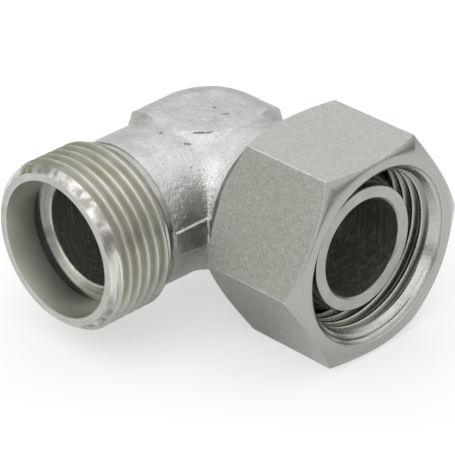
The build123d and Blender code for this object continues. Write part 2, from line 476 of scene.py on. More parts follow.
class TurningTree(GeometryTree):
    """Turns a half section about a leg: plain surfaces, a helical thread and a hexagon."""

    INPUTS = {
        "Int": ("Segments",),
        "Vector": ("Leg turn",),
        "Material": ("Material",),
        "Float": (
            *("Thread side", "Pitch", "Thread low", "Thread high", "Filled from"),
            *("Front radius", "Front at", "Front slope", "Back radius", "Back at", "Back slope"),
            *("Flat distance", "Corner radius", "First corner", "Crowding", "Chamfer slope"),
            *("Hex front", "Hex front circle", "Hex back", "Hex back circle"),
        ),
    }
    COLUMN_NUDGE = 0.25 / 1000
    SECTOR_NUDGE = 1e-5
    FILL_SLOPE = 3.0

    def __init__(self) -> None:
        """Builds the tree."""
        super().__init__("turning", self.INPUTS)
        profile = self.group_in.outputs["Geometry"]
        segments = self.given("Segments")
        size = self.node("GeometryNodeAttributeDomainSize", sockets={0: profile})
        rows = segments + 1.0
        counts = {"Vertices X": size.outputs["Point Count"], "Vertices Y": rows}
        grid = self.node("GeometryNodeMeshGrid", sockets=counts)

        index = self.num(self.node("GeometryNodeInputIndex").outputs[0])
        column = (index / rows + self.COLUMN_NUDGE).floor()
        row = index - column * rows
        place = self.node("GeometryNodeInputPosition").outputs[0]
        radius, along, _ = self.parts(self._sampled(profile, place, column))
        vectors = {"data_type": "FLOAT_VECTOR"}
        role = self.node("GeometryNodeInputNamedAttribute", vectors, {"Name": "role"}).outputs[0]
        thread, hex_front, hex_back = self.parts(self._sampled(profile, role, column))

        share, to_corner = self._round_share(row / segments)
        thread_radius, thread_along = self._thread(radius, along + self.given("Pitch") * share)
        hex_radius = self._hexagon(to_corner) - radius
        lift = self.given("Chamfer slope")
        front_drop = (hex_radius - self.given("Hex front circle")) * lift
        back_rise = (hex_radius - self.given("Hex back circle")) * lift
        front = self.given("Hex front") - front_drop - along
        back = self.given("Hex back") + back_rise + along
        plain = 1.0 - thread - hex_front - hex_back
        final_radius = radius * plain + thread_radius * thread + hex_radius * (hex_front + hex_back)
        final_along = along * plain + thread_along * thread + front * hex_front + back * hex_back

        angle = share * math.tau + self.given("First corner")
        across, up = final_radius * angle.cosine(), final_radius * angle.sine()
        spot = {"Geometry": grid.outputs[0], "Position": self.vector(across, up, final_along)}
        shaped = self.node("GeometryNodeSetPosition", sockets=spot)
        turn = {"Geometry": shaped.outputs[0], "Rotation": self.group_in.outputs["Leg turn"]}
        turned = self.node("GeometryNodeTransform", sockets=turn)
        near = {"Geometry": turned.outputs[0], "Distance": WELD}
        welded = self.node("GeometryNodeMergeByDistance", sockets=near)
        self.end(welded.outputs[0])

    def _sampled(self, profile: Link, value: Link, column: Num) -> NodeSocket:
        """A vector of the half section's point in a column.

        Args:
            profile: the half section.
            value: what is read from it.
            column: the point's number.

        Returns:
            The vector.
        """
        settings = {"data_type": "FLOAT_VECTOR", "domain": "POINT"}
        sockets = {"Geometry": profile, "Value": value, "Index": column}
        return self.node("GeometryNodeSampleIndex", settings, sockets).outputs[0]

    def _round_share(self, share: Num) -> tuple[Num, Num]:
        """Crowds the rows near the hexagon's corners.

        Args:
            share: how far round a row would lie with even rows, from 0 to 1.

        Returns:
            The share of the turn that the row lies at, and its angle from the nearest corner.
        """
        sixths = share * 6.0
        sector = (sixths + self.SECTOR_NUDGE).floor()
        within = sixths - sector
        crowded = within - (within * math.tau).sine() * self.given("Crowding") / math.tau
        to_corner = crowded.at_most(1.0 - crowded) * math.radians(60)
        return (sector + crowded) / 6.0, to_corner

    def _thread(self, radius: Num, along: Num) -> tuple[Num, Num]:
        """The thread's point, held between its ends, trimmed by two cones and filled at its front.

        Args:
            radius: radius of the full thread.
            along: place of the point on the leg.

        Returns:
            The point's radius and place.
        """
        held = along.at_least(self.given("Thread low")).at_most(self.given("Thread high"))
        side = self.given("Thread side")
        from_front, from_back = self.given("Front at") - held, held - self.given("Back at")
        front = self.given("Front radius") + from_front * self.given("Front slope")
        back = self.given("Back radius") + from_back * self.given("Back slope")
        unfilled = (self.given("Filled from") - held).at_least(0.0) * self.FILL_SLOPE
        trimmed = (radius * side).at_least(front * side - unfilled)
        trimmed = trimmed.at_most(front * side).at_most(back * side)
        return trimmed * side, held

    def _hexagon(self, to_corner: Num) -> Num:
        """Radius of a hexagon with rounded corners, at an angle from the nearest corner.

        Args:
            to_corner: the angle.

        Returns:
            The radius.
        """
        flat, corner = self.given("Flat distance"), self.given("Corner radius")
        half = math.radians(30)
        centre = (flat - corner) / math.cos(half)
        straight = flat / (half - to_corner).cosine()
        reach = (centre * to_corner.sine()) ** 2.0
        rounded = centre * to_corner.cosine() + (corner * corner - reach).at_least(0.0).root()
        ends = (corner * math.sin(half)).arctan2(centre + corner * math.cos(half))
        in_corner = to_corner.below(ends)
        return straight + (rounded - straight) * in_corner


class Lathe:
    """Makes closed turned pieces with one turning tree."""

    def __init__(self) -> None:
        """Builds the tree once."""
        self.tree = TurningTree()

    def turn(
        self,
        name: str,
        leg: Leg,
        points: list[Point],
        material: Material,
        segments: int,
        thread: Thread | None = None,
        hexagon: Hexagon | None = None,
    ) -> Object:
        """Turns a closed half section.

        Args:
            name: the piece's name.
            leg: the leg that it is turned about.
            points: the half section, in order, with the metal on its right.
            material: the piece's material.
            segments: rows round the axis, a multiple of six.
            thread: the thread whose points are in the half section.
            hexagon: the hexagon whose points are in it.

        Returns:
            The turned piece.
        """
        mesh = bpy.data.meshes.new(name)
        closed = [*points, points[0]]
        mesh.from_pydata([(p.radius * MM, p.along * MM, 0.0) for p in closed], [], [])
        role = mesh.attributes.new("role", "FLOAT_VECTOR", "POINT")
        role.data.foreach_set("vector", [value for p in closed for value in p.role.value])
        obj = new_object(name, mesh)
        values = {"Segments": segments, "Leg turn": leg.turn(), "Material": material}
        values["Thread side"] = 1.0
        if thread:
            values |= thread.inputs()
        if hexagon:
            values |= hexagon.inputs()
        self.tree.run(obj, values)
        shade(obj)
        return obj


def shade(obj: Object) -> None:
    """Shades a mesh smooth, with its real edges sharp."""
    obj.data.shade_smooth()
    obj.data.set_sharp_from_angle(angle=SMOOTH_BELOW)


# ---- Finishes ----


Colour = tuple[float, float, float]
Pit = tuple[float, float, float, float]


class MaterialTree(Tree):
    """A material whose nodes end in one Principled shader."""

    def __init__(self, name: str) -> None:
        """Makes the material.

        Args:
            name: the material's name.
        """
        self.material = bpy.data.materials.new(name)
        self.material.use_nodes = True
        super().__init__(self.material.node_tree)
        self.nodes.nodes.clear()
        self.shader = self.node("ShaderNodeBsdfPrincipled")
        self.node("ShaderNodeOutputMaterial", sockets={0: self.shader.outputs[0]})
        place = self.node("ShaderNodeTexCoord").outputs["Object"]
        scaled = {0: place, "Scale": 1 / MM}
        self.place = self.node("ShaderNodeVectorMath", {"operation": "SCALE"}, scaled).outputs[0]

    def set(self, **sockets: Link) -> None:
        """Sets or links inputs of the Principled shader, with _ for a space in a name."""
        self.feed(self.shader, {name.replace("_", " "): sockets[name] for name in sockets})

    def mixed(self, share: Num, first: Link, second: Link) -> NodeSocket:
        """A colour between two.

        Args:
            share: 0 for the first colour, 1 for the second.
            first: a colour or a colour socket.
            second: a colour or a colour socket.

        Returns:
            The mixed colour's socket.
        """
        sides = [(*side, 1.0) if isinstance(side, tuple) else side for side in (first, second)]
        sockets = {0: share, 6: sides[0], 7: sides[1]}
        return self.node("ShaderNodeMix", {"data_type": "RGBA"}, sockets).outputs[2]

    def pinholes(self, spacing: float, radius: float, share: float) -> Num:
        """Round dots scattered over the material.

        Args:
            spacing: about how far apart they could be, in millimetres.
            radius: radius of the largest.
            share: how many of the places have one, from 0 to 1.

        Returns:
            1 in a dot's middle, 0 outside it.
        """
        sockets = {"Vector": self.place, "Scale": 1 / spacing}
        node = self.node("ShaderNodeTexVoronoi", sockets=sockets)
        chance = self.parts(node.outputs["Color"])[0]
        size = chance.ramp(share, 0.0) * (radius / spacing) + 1e-4
        return (1.0 - self.num(node.outputs["Distance"]) / size).at_least(0.0)

    def away_from(self, point: tuple[float, float, float]) -> Num:
        """Distance of the place from a point, in millimetres.

        Args:
            point: the point, in millimetres.

        Returns:
            The distance.
        """
        ends = {0: self.place, 1: point}
        node = self.node("ShaderNodeVectorMath", {"operation": "DISTANCE"}, ends)
        return self.num(node.outputs["Value"])

    def dents(self, pits: tuple[Pit, ...]) -> Num:
        """1 in the middle of each pit, 0 outside them all."""
        found = [self.away_from((x, y, z)).ramp(size, size * 0.3) for x, y, z, size in pits]
        return reduce(Num.at_least, found)

    def stretched(self, x: float, y: float, z: float) -> NodeSocket:
        """The place, scaled by a factor for each axis."""
        px, py, pz = self.parts(self.place)
        return self.vector(px * x, py * y, pz * z)

    def on_leg(self, leg: Leg) -> tuple[Num, Num, Num]:
        """Radius, distance along and turn (as a cosine) of the place on a leg, in millimetres.

        Args:
            leg: the leg.

        Returns:
            The three numbers.
        """
        x, y, z = self.parts(self.place)
        side, along = (x, -y) if leg is Leg.MALE else (y, x)
        radius = (side * side + z * z).root()
        return radius, along, side / radius.at_least(0.01)

    def rings(self, radius: Num, along: Num, turn: Num) -> Num:
        """Noise drawn out into the fine rings that turning leaves."""
        drawn = self.vector(radius * 5.0, along * 5.0, turn * 0.8)
        return self.noise(drawn, 1.0, 3.0, 0.6)

    def bump(self, height: Num, depth: float, under: Link | None = None) -> NodeSocket:
        """A bumped normal.

        Args:
            height: the bump's height, from 0 to 1.
            depth: what a height of 1 is in millimetres.
            under: the normal that it is added to.

        Returns:
            The normal's socket.
        """
        sockets = {"Strength": 1.0, "Distance": depth * MM, "Height": height}
        if under is not None:
            sockets["Normal"] = under
        return self.node("ShaderNodeBump", sockets=sockets).outputs[0]


@dataclass(frozen=True)
class ForgedZinc:
    """Zinc over a forged and shot blasted skin: satin, with ripples, pinholes and a few pits, and
    painted shade in the hollows of the ripples and grit, in the pinholes and in the pits.
    """

    name: str
    light: Colour = (0.69, 0.695, 0.685)
    dark: Colour = (0.50, 0.505, 0.49)
    pit_tone: Colour = (0.12, 0.12, 0.11)
    roughness: float = 0.32
    pits: tuple[Pit, ...] = (
        *((1.64, -0.12, 13.5, 0.45), (4.5, -0.6, 13.5, 0.45), (4.9, -0.24, 13.5, 0.45)),
        *((1.39, -12.26, 13.35, 0.4), (5.92, -10.3, 12.05, 0.5), (5.6, -10.75, 12.2, 0.36)),
        *((5.2, -8.75, 13.3, 0.2), (5.3, -8.45, 13.3, 0.2), (5.45, -8.2, 13.3, 0.24)),
        *((5.7, -7.95, 13.3, 0.28), (5.9, -7.7, 13.3, 0.34), (6.15, -7.4, 13.3, 0.36)),
        *((6.4, -7.15, 13.3, 0.3), (6.6, -6.9, 13.3, 0.26), (6.8, -6.65, 13.3, 0.3)),
        *((7.0, -6.4, 13.3, 0.26), (7.15, -6.1, 13.3, 0.2)),
    )

    def material(self) -> Material:
        """Builds the material.

        Returns:
            The material.
        """
        tree = MaterialTree(self.name)
        patches = tree.noise(tree.place, 0.3, 2.0)
        grit = tree.noise(tree.place, 3.4, 3.0, 0.65)
        ripple = tree.noise(tree.stretched(2.4, 2.4, 2.0), 1.0, 2.0, 0.5)
        dimples = tree.pinholes(0.5, 0.2, 0.8)
        # Painted shade: the tone follows the grit, ripple and dimple bumps and is darker in their
        # hollows; the large patches are a random tone.
        tone = (grit * 0.6 + ripple * 0.3 + patches * 0.6 - dimples * 0.28).ramp(0.53, 0.9)
        # Painted shade: the pinholes and the pits are darkened towards a near-black tone.
        holes = tree.pinholes(0.7, 0.24, 0.42)
        dents = tree.dents(self.pits)
        marks = (holes * 0.6).at_least(dents)
        metal = tree.mixed(tone, self.dark, self.light)
        tree.set(Metallic=1.0, Base_Color=tree.mixed(marks * 0.8, metal, self.pit_tone))
        tree.set(Roughness=self.roughness + grit * 0.1 + marks * 0.2)
        skin = tree.bump(ripple - dimples * 0.4, 0.10)
        skin = tree.bump(grit, 0.06, skin)
        tree.set(Normal=tree.bump(1.0 - marks, 0.12, skin))
        return tree.material


@dataclass(frozen=True)
class TurnedZinc:
    """Zinc over turned steel: fine rings, duller in the thread's grooves with painted shade there,
    painted reflections on the front chamfer, painted light on the cone and the tube socket's wall
    inside the mouth, dark in the bore.
    """

    name: str
    leg: Leg
    bore: float
    crest: float = 99.0
    face_at: float = 99.0
    face: float = 99.0
    thread_from: float = 0.0
    mouth: float = 0.0
    socket: float = 0.0
    floor: float = 99.0
    light: Colour = (0.56, 0.55, 0.515)
    dark: Colour = (0.41, 0.40, 0.37)
    groove: Colour = (0.42, 0.42, 0.335)
    # Partly painted light: the cone's satin tone is lighter than the rest, to lift the cone out of
    # its shade.
    satin: Colour = (0.72, 0.725, 0.665)
    socket_wall: Colour = (0.60, 0.61, 0.58)
    # Painted reflection: the two tones of the streaks on the front chamfer.
    bright: Colour = (0.8, 0.79, 0.75)
    smear: Colour = (0.2, 0.185, 0.165)
    bore_tone: Colour = (0.62, 0.61, 0.57)
    bore_dark: Colour = (0.26, 0.26, 0.235)
    roughness: float = 0.17
    soft: float = 0.05
    thread_deep: float = 1.4

    def material(self) -> Material:
        """Builds the material.

        Returns:
            The material.
        """
        tree = MaterialTree(self.name)
        radius, along, turn = tree.on_leg(self.leg)
        rings = tree.rings(radius, along, turn)
        patches = tree.noise(tree.place, 0.3, 3.0, 0.6)
        tone = (rings * 0.5 + patches * 0.7).ramp(0.42, 0.8)
        metal = tree.mixed(tone, self.dark, self.light)
        # Painted shade: the thread's flanks and roots take the darker olive groove tone.
        deep = self._deep(radius, along)
        metal = tree.mixed(deep, metal, tree.mixed(tone, self.groove, self.light))
        # Painted reflection: light and dark streaks round the thread's front chamfer.
        streaks = tree.noise(tree.vector(turn * 7.0, along * 0.4, radius * 0.3), 1.0, 2.0)
        chamfer_reflection = tree.mixed(streaks.ramp(0.4, 0.58), self.smear, self.bright)
        metal = tree.mixed(self._chamfered(radius, along) * 0.65, metal, chamfer_reflection)
        # Painted light: the 24 degree cone inside the mouth takes the lighter satin tone; its added
        # roughness is its satin finish.
        past_socket = radius.ramp(self.socket, self.socket + self.soft)
        mouth = (1.0 - radius.ramp(self.mouth, self.mouth + self.soft)) * past_socket
        metal = tree.mixed(mouth, metal, self.satin)
        # Painted light: the tube socket's wall, deep in shade, takes a lighter tone.
        walled = (1.0 - past_socket) * along.ramp(self.floor + self.soft, self.floor + 0.4)
        metal = tree.mixed(walled, metal, self.socket_wall)
        inside = 1.0 - radius.ramp(self.bore + self.soft, self.bore + 0.3)
        scratches = tree.noise(tree.vector(radius * 2.0, along * 2.5, turn * 12.0), 1.0, 4.0, 0.75)
        scratched = tree.mixed(scratches.ramp(0.42, 0.66), self.bore_dark, self.bore_tone)
        metal = tree.mixed(inside, metal, scratched)
        tree.set(Metallic=1.0, Base_Color=metal)
        dull = patches * 0.1 + deep * 0.14 + inside * 0.25 + mouth * 0.12
        tree.set(Roughness=self.roughness + dull)
        tree.set(Normal=tree.bump(rings, 0.012))
        return tree.material

    def _chamfered(self, radius: Num, along: Num) -> Num:
        """1 on the thread's front chamfer, 0 on all else."""
        near = abs(self.face + self.face_at - along - radius).ramp(0.08, 0.02)
        return near * along.ramp(self.face_at, self.face_at - 0.1)

    def _deep(self, radius: Num, along: Num) -> Num:
        """1 on the thread's flanks and roots, 0 on its crests, its chamfer and all else.

        Args:
            radius: distance of the place from the leg's axis.
            along: its place on the leg.

        Returns:
            The mask.
        """
        envelope = (self.face + self.face_at - along).at_most(self.crest)
        below = (envelope - radius).ramp(0.02, 0.12)
        root = self.crest - self.thread_deep
        threaded = along.ramp(self.thread_from, self.thread_from + 0.1)
        threaded = threaded * radius.ramp(root - 0.1, root)
        return below * threaded * along.ramp(self.face_at, self.face_at - 0.1)


@dataclass(frozen=True)
class NutZinc:
    """Zinc over hexagon bar: sanded flats with a painted highlight along the corners, turned ends
    and inside, with painted shade in the inside thread's grooves.
    """

    name: str
    hexagon: Hexagon
    inside: float
    crest: float
    lead_in: Slope
    flat: Colour = (0.57, 0.575, 0.555)
    flat_dark: Colour = (0.46, 0.465, 0.44)
    end: Colour = (0.42, 0.41, 0.385)
    worn: Colour = (0.66, 0.66, 0.64)
    groove: Colour = (0.30, 0.295, 0.25)
    roughness: float = 0.33
    soft: float = 0.03

    def material(self) -> Material:
        """Builds the material.

        Returns:
            The material.
        """
        tree = MaterialTree(self.name)
        radius, along, turn = tree.on_leg(Leg.NUT)
        rings = tree.rings(radius, along, turn)
        sand = tree.noise(tree.stretched(2.8, 2.8, 1.8), 1.0, 2.5, 0.65)
        mottle = tree.noise(tree.stretched(0.7, 1.5, 1.5), 1.0, 3.0, 0.6)
        flats = tree.mixed((sand * 0.9 + mottle * 0.4).ramp(0.52, 0.78), self.flat_dark, self.flat)
        # Painted highlight: the hexagon's rounded corners are lightened, broken up by the mottle.
        corner = self.hexagon.corner_radius
        corner_highlight_mask = radius.ramp(corner - 0.07, corner - 0.01)
        flats = tree.mixed(corner_highlight_mask * mottle.ramp(0.35, 0.55), flats, self.worn)
        ended = self._ended(radius, along)
        metal = tree.mixed(ended, flats, self.end)
        bored = 1.0 - radius.ramp(self.inside + 0.3, self.inside + 0.4)
        trimmed = self.lead_in.radius + (self.lead_in.along - along) * self.lead_in.slope
        # Painted shade: the inside thread's flanks and roots take the dark groove tone.
        deep = bored * (radius - trimmed.at_least(self.crest)).ramp(0.05, 0.3)
        metal = tree.mixed(deep, metal, self.groove)
        tree.set(Metallic=1.0, Base_Color=metal)
        smooth = ended.at_least(bored)
        tree.set(Roughness=self.roughness + sand * 0.1 - smooth * 0.12)
        skin = tree.bump(rings, 0.012)
        grain = (sand * 0.7 + mottle * 0.3) * (1.0 - smooth)
        tree.set(Normal=tree.bump(grain, 0.07, skin))
        return tree.material

    def _ended(self, radius: Num, along: Num) -> Num:
        """1 on the end faces and their chamfers, 0 on the flats.

        Args:
            radius: distance of the place from the leg's axis.
            along: its place on the leg.

        Returns:
            The mask.
        """
        shape, soft = self.hexagon, self.soft
        slope = math.tan(math.radians(shape.chamfer))
        front = along + (radius - shape.front_circle).at_least(0.0) * slope
        back = along - (radius - shape.back_circle).at_least(0.0) * slope
        at_front = front.ramp(shape.front - 2 * soft, shape.front - soft)
        at_back = back.ramp(shape.back + 2 * soft, shape.back + soft)
        return at_front.at_least(at_back) * radius.ramp(self.inside, self.inside + 0.1)


@dataclass(frozen=True)
class DrawnWire:
    """Bright drawn wire."""

    name: str
    light: Colour = (0.55, 0.55, 0.55)
    dark: Colour = (0.4, 0.4, 0.4)
    roughness: float = 0.3

    def material(self) -> Material:
        """Builds the material.

        Returns:
            The material.
        """
        tree = MaterialTree(self.name)
        draw = tree.noise(tree.stretched(6.0, 1.0, 1.0), 1.0, 3.0)
        tree.set(Metallic=1.0, Base_Color=tree.mixed(draw, self.dark, self.light))
        tree.set(Roughness=self.roughness + draw * 0.1, Normal=tree.bump(draw, 0.01))
        return tree.material


@dataclass(frozen=True)
class SealRubber:
    """Black moulded rubber with a little bloom."""

    name: str
    black: Colour = (0.012, 0.012, 0.012)
    bloom: Colour = (0.035, 0.034, 0.033)
    roughness: float = 0.5

    def material(self) -> Material:
        """Builds the material.

        Returns:
            The material.
        """
        tree = MaterialTree(self.name)
        haze = tree.noise(tree.place, 0.6, 3.0)
        grain = tree.noise(tree.place, 5.0, 2.0)
        tree.set(Base_Color=tree.mixed(haze.ramp(0.4, 0.7), self.black, self.bloom))
        tree.set(Roughness=self.roughness + haze * 0.2, Normal=tree.bump(grain, 0.01))
        return tree.material


# ---- The forging ----


class ForgingTree(GeometryTree):
    """Grows the forged elbow from distance fields and cuts the machined ends and bores."""

    INPUTS = {
        "Float": (
            *("Neck radius", "Web radius", "Web section", "Block half width", "Block round"),
            *("Male reach", "Nut reach", "End slope", "End slant", "Slant from", "Crease out"),
            *("Band half width", "Band half height", "Skin"),
        ),
        "Vector": ("Low corner", "High corner"),
        "Int": ("Cells X", "Cells Y", "Cells Z"),
        "Object": ("Male cut", "Nut cut"),
        "Material": ("Material",),
    }
    NECK_BLEND = 0.5
    BAND_BLEND = 0.35
    ARM_END_EDGE = 0.35
    ARM_BLEND = 0.4
    GUSSET_EDGE = 0.5
    LEG_END_EDGE = 0.3
    CROSSING_BLEND = 0.6
    WEB_BLEND = 0.9
    BAND_EDGE = 0.2

    def __init__(self) -> None:
        """Builds the tree."""
        super().__init__("forging", self.INPUTS)
        place = self.node("GeometryNodeInputPosition").outputs[0]
        x, y, z = self.parts(place)
        plan = self._from_legs(x, y)
        body = self._block(x, y, z, plan).joined(self._necks(x, y, z), self.NECK_BLEND)
        body = body.joined(self._band(z, plan), self.BAND_BLEND) - self._skin(place)
        sides = {
            "Density": (1.0 - body).at_most(2.0).at_least(0.0),
            "Min": self.group_in.outputs["Low corner"],
            "Max": self.group_in.outputs["High corner"],
        }
        sides |= {f"Resolution {axis}": self.group_in.outputs[f"Cells {axis}"] for axis in "XYZ"}
        cube = self.node("GeometryNodeVolumeCube", sockets=sides)
        grown = {"Volume": cube.outputs[0], "Threshold": 1.0}
        mesh = self.node("GeometryNodeVolumeToMesh", {"resolution_mode": "GRID"}, grown)
        size = {"Geometry": mesh.outputs[0], "Scale": (MM, MM, MM)}
        whole = {"Mesh 1": self.node("GeometryNodeTransform", sockets=size).outputs[0]}
        settings = {"operation": "DIFFERENCE", "solver": "MANIFOLD"}
        cutting = self.node("GeometryNodeMeshBoolean", settings, whole)
        for name in self.INPUTS["Object"]:
            source = {"Object": self.group_in.outputs[name]}
            cutter = self.node("GeometryNodeObjectInfo", sockets=source)
            self.feed(cutting, {"Mesh 2": cutter.outputs["Geometry"]})
        self.end(cutting.outputs[0])

    @staticmethod
    def _from_legs(x: Num, y: Num) -> tuple[Num, Num]:
        """Distances in plan from the male leg and from the nut's leg, round past the crossing."""
        male = (x * x + y.at_least(0.0) ** 2.0).root()
        return male, (y * y + abs(x.at_most(0.0)) ** 2.0).root()

    def _block(self, x: Num, y: Num, z: Num, plan: tuple[Num, Num]) -> Num:
        """Distance to the block: two rounded square arms, a round outer corner and two gussets.

        Args:
            x: place along the nut's leg.
            y: place against the male leg.
            z: height.
            plan: the distances from the legs in plan.

        Returns:
            The distance.
        """
        edge = self.ARM_END_EDGE
        male = self._square(plan[0], z).shared(self._end(-y, -x, z, "Male reach"), edge)
        nut = self._square(plan[1], z).shared(self._end(x, y, z, "Nut reach"), edge)
        gusset = (x - y) / 2.0 + (abs(z) - self.given("Block half width")) / 2**0.5
        gusset = gusset - self.given("Crease out") / 2**0.5
        return male.joined(nut, self.ARM_BLEND).shared(gusset, self.GUSSET_EDGE)

    def _end(self, along: Num, out: Num, up: Num, reach: str) -> Num:
        """Distance to an arm's end, a cone down to the neck that slants back outwards.

        Args:
            along: place along the arm's leg.
            out: place across the leg, in plan.
            up: height.
            reach: the input that says how far the end reaches at the neck.

        Returns:
            The distance.
        """
        slope, slant = self.given("End slope"), self.given("End slant")
        above_neck = (out * out + up * up).root() - self.given("Neck radius")
        back = (out - self.given("Slant from")).at_least(0.0) * slant
        past = along - self.given(reach) + above_neck * slope + back
        return past / (slope + slant + 1.0).root()

    def _square(self, across: Num, z: Num) -> Num:
        """Distance to a rounded square in a plane across a leg.

        Args:
            across: distance from the leg in plan.
            z: height.

        Returns:
            The distance.
        """
        corner = self.given("Block round")
        core = self.given("Block half width") - corner
        side, up = across - core, abs(z) - core
        out = (side.at_least(0.0) ** 2.0 + up.at_least(0.0) ** 2.0).root()
        return out + side.at_least(up).at_most(0.0) - corner

    def _necks(self, x: Num, y: Num, z: Num) -> Num:
        """Distance to the two round necks and the web in the inner corner.

        Args:
            x: place along the nut's leg.
            y: place against the male leg.
            z: height.

        Returns:
            The distance.
        """
        radius, bend = self.given("Neck radius"), self.given("Web radius")
        male = ((x * x + z * z).root() - radius).shared(y, self.LEG_END_EDGE)
        nut = ((y * y + z * z).root() - radius).shared(-x, self.LEG_END_EDGE)
        side, out = (x - bend).at_most(0.0), (y + bend).at_least(0.0)
        line = (side * side + out * out).root() - bend
        web = (line * line + z * z).root() - self.given("Web section")
        return male.joined(nut, self.CROSSING_BLEND).joined(web, self.WEB_BLEND)

    def _band(self, z: Num, plan: tuple[Num, Num]) -> Num:
        """Distance to the parting band that trimming leaves round the forging."""
        side = plan[0].at_most(plan[1]) - self.given("Band half width")
        return side.shared(abs(z) - self.given("Band half height"), self.BAND_EDGE)

    def _skin(self, place: Link) -> Num:
        """How far the forged skin stands out: long swells, and the blasted grain over them.

        Args:
            place: the place, in millimetres.

        Returns:
            The height of the skin.
        """
        swell = self.noise(place, 0.16, 1.0) - 0.5
        grain = self.noise(place, 1.05, 2.5, 0.6) - 0.5
        return (grain + swell * 0.8) * self.given("Skin")


@dataclass
class ElbowForging:
    """The forged elbow with its machined ends and crossing bores cut. Sizes in millimetres.

    A field with the name of one of the tree's inputs gives that input its value.
    """

    material: Material
    neck_radius: float = 13.4
    web_radius: float = 14.6
    web_section: float = 13.1
    block_half_width: float = 13.5
    block_round: float = 9.0
    male_reach: float = 10.0
    nut_reach: float = 8.9
    end_slope: float = 0.6
    end_slant: float = 0.9
    slant_from: float = 9.4
    crease_out: float = 9.5
    band_half_width: float = 13.75
    band_half_height: float = 2.3
    skin: float = 0.30
    male_end: float = 20.7
    nut_end: float = 14.2
    male_bore: float = 9.5
    male_bore_past: float = 4.0
    nut_bore: float = 8.7
    drill_slope: float = math.tan(math.radians(59))
    cutter_radius: float = 20.0
    cutter_length: float = 5.0
    cutter_segments: int = 96
    low_corner: tuple[float, float, float] = (-15.0, -21.6, -15.0)
    high_corner: tuple[float, float, float] = (15.2, 15.0, 15.0)
    cell: float = 0.27
    rough_cell: float = 0.5

    def make(self, lathe: Lathe) -> Object:
        """Makes the forging.

        Args:
            lathe: what turns the cutters of the bores and ends.

        Returns:
            The forging.
        """
        cell = self.cell
        obj = new_object("forged_elbow", bpy.data.meshes.new("forged_elbow"))
        cutters = self._cutters(lathe)
        values = {name.replace("_", " ").capitalize(): size for name, size in vars(self).items()}
        for axis, low, high in zip("XYZ", self.low_corner, self.high_corner):
            values[f"Cells {axis}"] = round((high - low) / cell)
        values |= {"Male cut": cutters[0], "Nut cut": cutters[1]}
        ForgingTree().run(obj, values)
        for cutter in cutters:
            bpy.data.objects.remove(cutter)
        shade(obj)
        return obj

    def _cutters(self, lathe: Lathe) -> list[Object]:
        """The two solids that are cut away: each leg's bore, and all beyond its machined end.

        Args:
            lathe: what turns them.

        Returns:
            The male leg's solid and the nut leg's.
        """
        legs = (
            (Leg.MALE, self.male_bore, self.male_bore_past, self.male_end),
            (Leg.NUT, self.nut_bore, 0.0, self.nut_end),
        )
        cutters = []
        for leg, bore, past, end in legs:
            outline = path(
                (0, end + self.cutter_length),
                (self.cutter_radius, end + self.cutter_length),
                (self.cutter_radius, end),
                (bore, end),
                (bore, -past),
                (0, -past - bore / self.drill_slope),
            )
            name, sizes = f"{leg.name.lower()}_cut", (self.material, self.cutter_segments)
            cutters.append(lathe.turn(name, leg, outline, *sizes))
        return cutters


# ---- The turned ends ----


@dataclass(frozen=True)
class WireGroove:
    """Half of the round channel that holds the nut's retaining wire, in millimetres."""

    at: float = 22.5
    ring: float = 13.04
    radius: float = 1.06
    step: int = 22

    def points(self, side: int) -> list[Point]:
        """Half of the channel.

        Args:
            side: 1 for the nut's half, -1 for the spigot's.

        Returns:
            The points, with the metal on their right.
        """
        turns = [math.radians(turn) * side for turn in range(-88, 89, self.step)]
        return [
            Point(self.ring + side * self.radius * math.cos(t), self.at + self.radius * math.sin(t))
            for t in turns
        ]


@dataclass
class MaleTubeEnd:
    """The threaded end with its 24 degree cone, tube socket and relief neck."""

    material: Material
    face_at: float = 35.5
    face: float = 13.43
    relief: float = 13.25
    relief_end: float = 20.4
    bore: float = 9.5
    stop_edge: float = 0.3
    socket: float = 11.0
    socket_floor: float = 28.0
    cone_floor: float = 30.09
    mouth: float = 12.15
    lip: float = 0.04
    lip_width: float = 0.06
    segments: int = 240
    thread: Thread = Thread(
        crest=14.93,
        depth=1.227,
        pitch=2.0,
        low=21.82,
        high=35.42,
        crest_at=23.9,
        front=Slope(13.51, 35.42, 1.0),
        back=Slope(13.25, 21.82, 1.0),
        filled_from=34.5,
    )

    def make(self, lathe: Lathe) -> Object:
        """Turns the end.

        Args:
            lathe: what turns it.

        Returns:
            The end.
        """
        outline = path(
            (self.mouth, self.face_at - self.lip),
            (self.mouth + self.lip_width, self.face_at),
            (self.face, self.face_at),
        )
        outline += self.thread.points()
        outline += path(
            (self.relief, self.relief_end),
            (self.bore, self.relief_end),
            (self.bore, self.socket_floor - self.stop_edge),
            (self.bore + self.stop_edge, self.socket_floor),
            (self.socket, self.socket_floor),
            (self.socket, self.cone_floor),
        )
        sizes = (self.segments, self.thread)
        return lathe.turn("male_tube_end", Leg.MALE, outline, self.material, *sizes)


